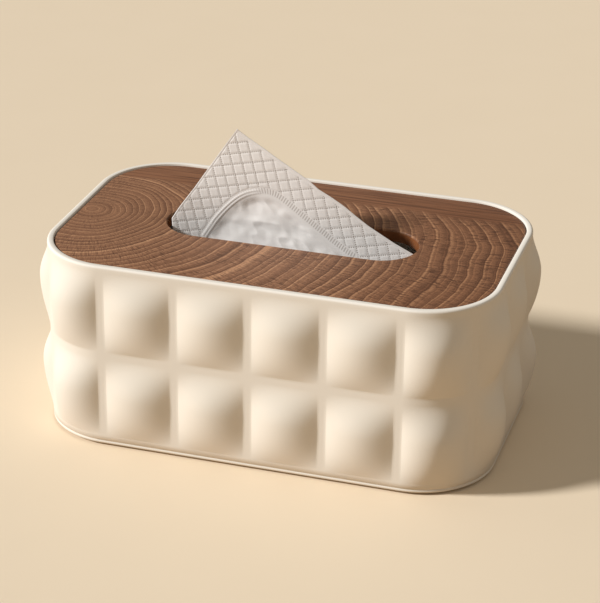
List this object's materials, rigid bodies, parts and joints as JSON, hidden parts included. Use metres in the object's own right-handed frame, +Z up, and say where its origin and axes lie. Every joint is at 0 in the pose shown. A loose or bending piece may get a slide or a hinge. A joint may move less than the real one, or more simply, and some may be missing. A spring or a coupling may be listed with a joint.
{
  "type": "tissue box holder",
  "caption": "Oblong tissue box holder with a soft pillow-moulded cream wall, a lift-off walnut lid with a long slot, and a quilted tissue standing in it.",
  "frame": {"origin": "centre of the footprint, on the table under the foot pads", "axes": "+Z up, +X along the length, the front faces -Y"},
  "size_m": [0.2258, 0.1428, 0.1404],
  "materials": {
    "shell": "matte",
    "walnut": "satin",
    "tissue": "matte",
    "foot": "matte"
  },
  "bodies": {
    "box": {"shell": "shell", "tissue_stack": "tissue", "tissue_sheet": "tissue", "foot_front_left": "foot", "foot_front_right": "foot", "foot_back_left": "foot", "foot_back_right": "foot"},
    "lid": {"lid": "walnut"}
  },
  "joints": [
    {"name": "lid_lift", "type": "slide", "parent": "box", "child": "lid", "axis": [0, 0, 1], "range_m": [0, 0.06]}
  ]
}
